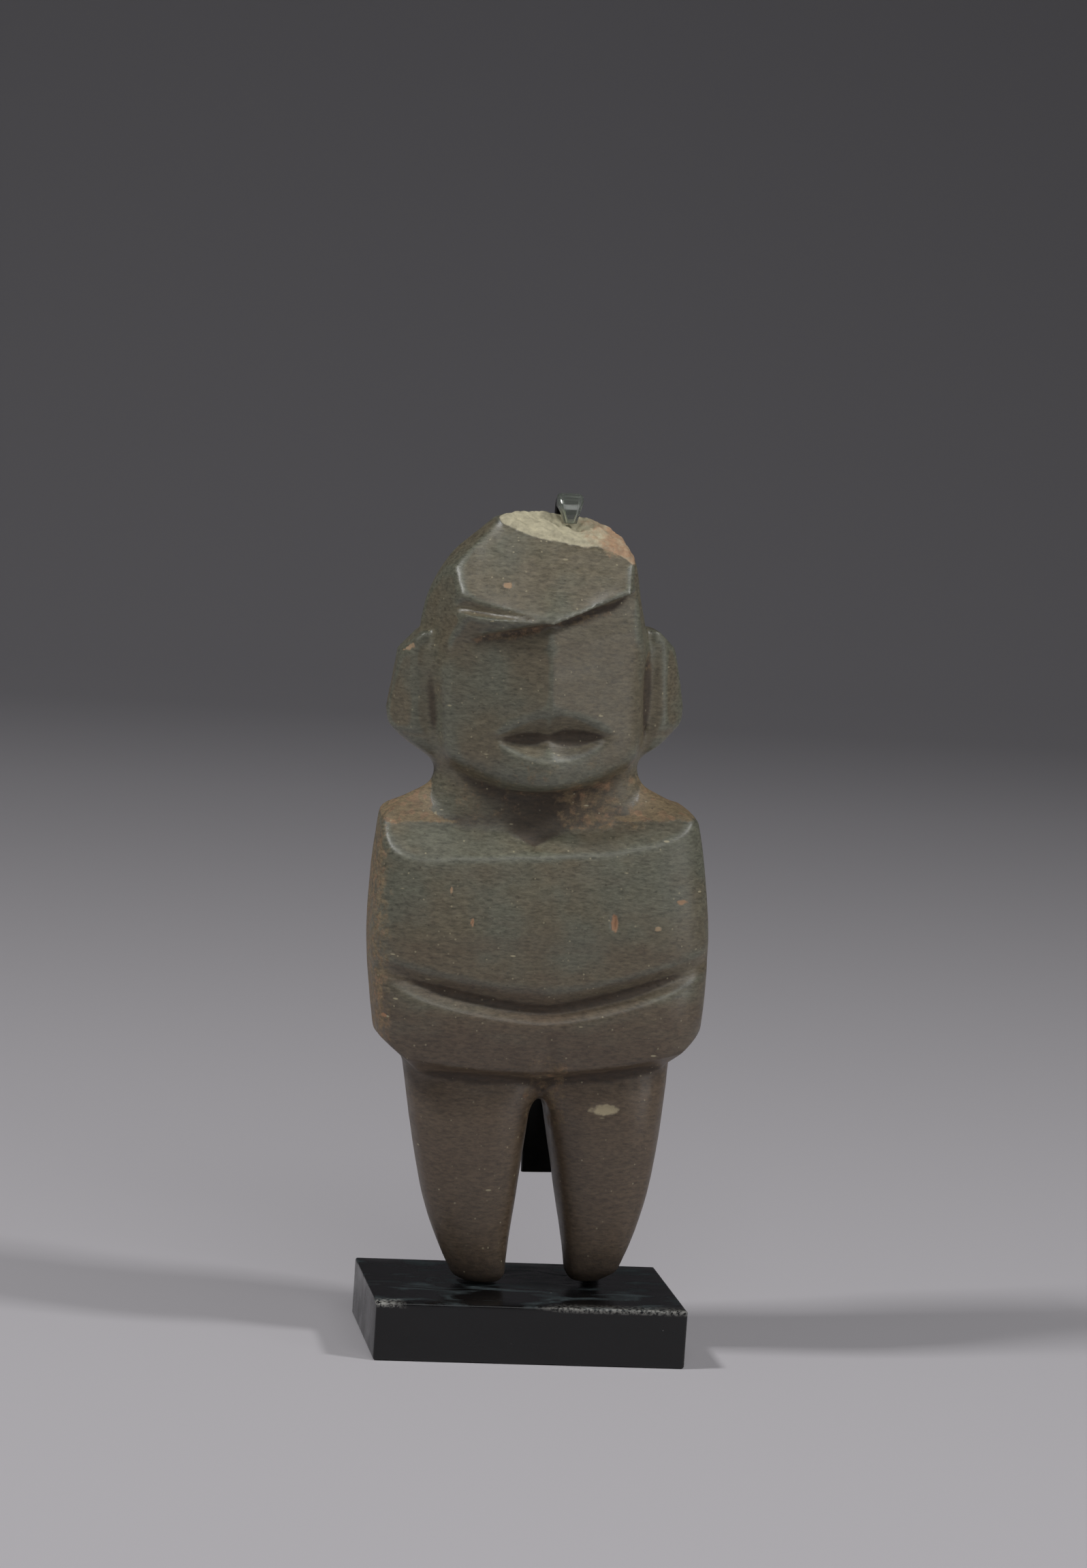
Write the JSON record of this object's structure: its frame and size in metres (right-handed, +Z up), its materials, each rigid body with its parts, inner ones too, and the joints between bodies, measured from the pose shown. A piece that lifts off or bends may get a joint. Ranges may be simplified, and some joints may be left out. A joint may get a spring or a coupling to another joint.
{
  "type": "anthropomorphic stone idol on a stand",
  "caption": "Carved stone human figure with a wedge-shaped brow, ears, a grooved belly and tapering legs, held upright on a small black block by a hooked bracket.",
  "frame": {"origin": "centre of the block's underside", "axes": "+Z up, +X to the viewer's right, the figure faces -Y"},
  "size_m": [0.0693, 0.04, 0.1742],
  "materials": {
    "stone": "worn polish, semi-gloss",
    "block_lacquer": "black lacquer",
    "bracket_steel": "blackened",
    "clear_sleeve": "clear"
  },
  "bodies": {
    "root": {"idol": "stone", "block": "block_lacquer", "bracket": "bracket_steel", "sleeve": "clear_sleeve"}
  },
  "joints": []
}
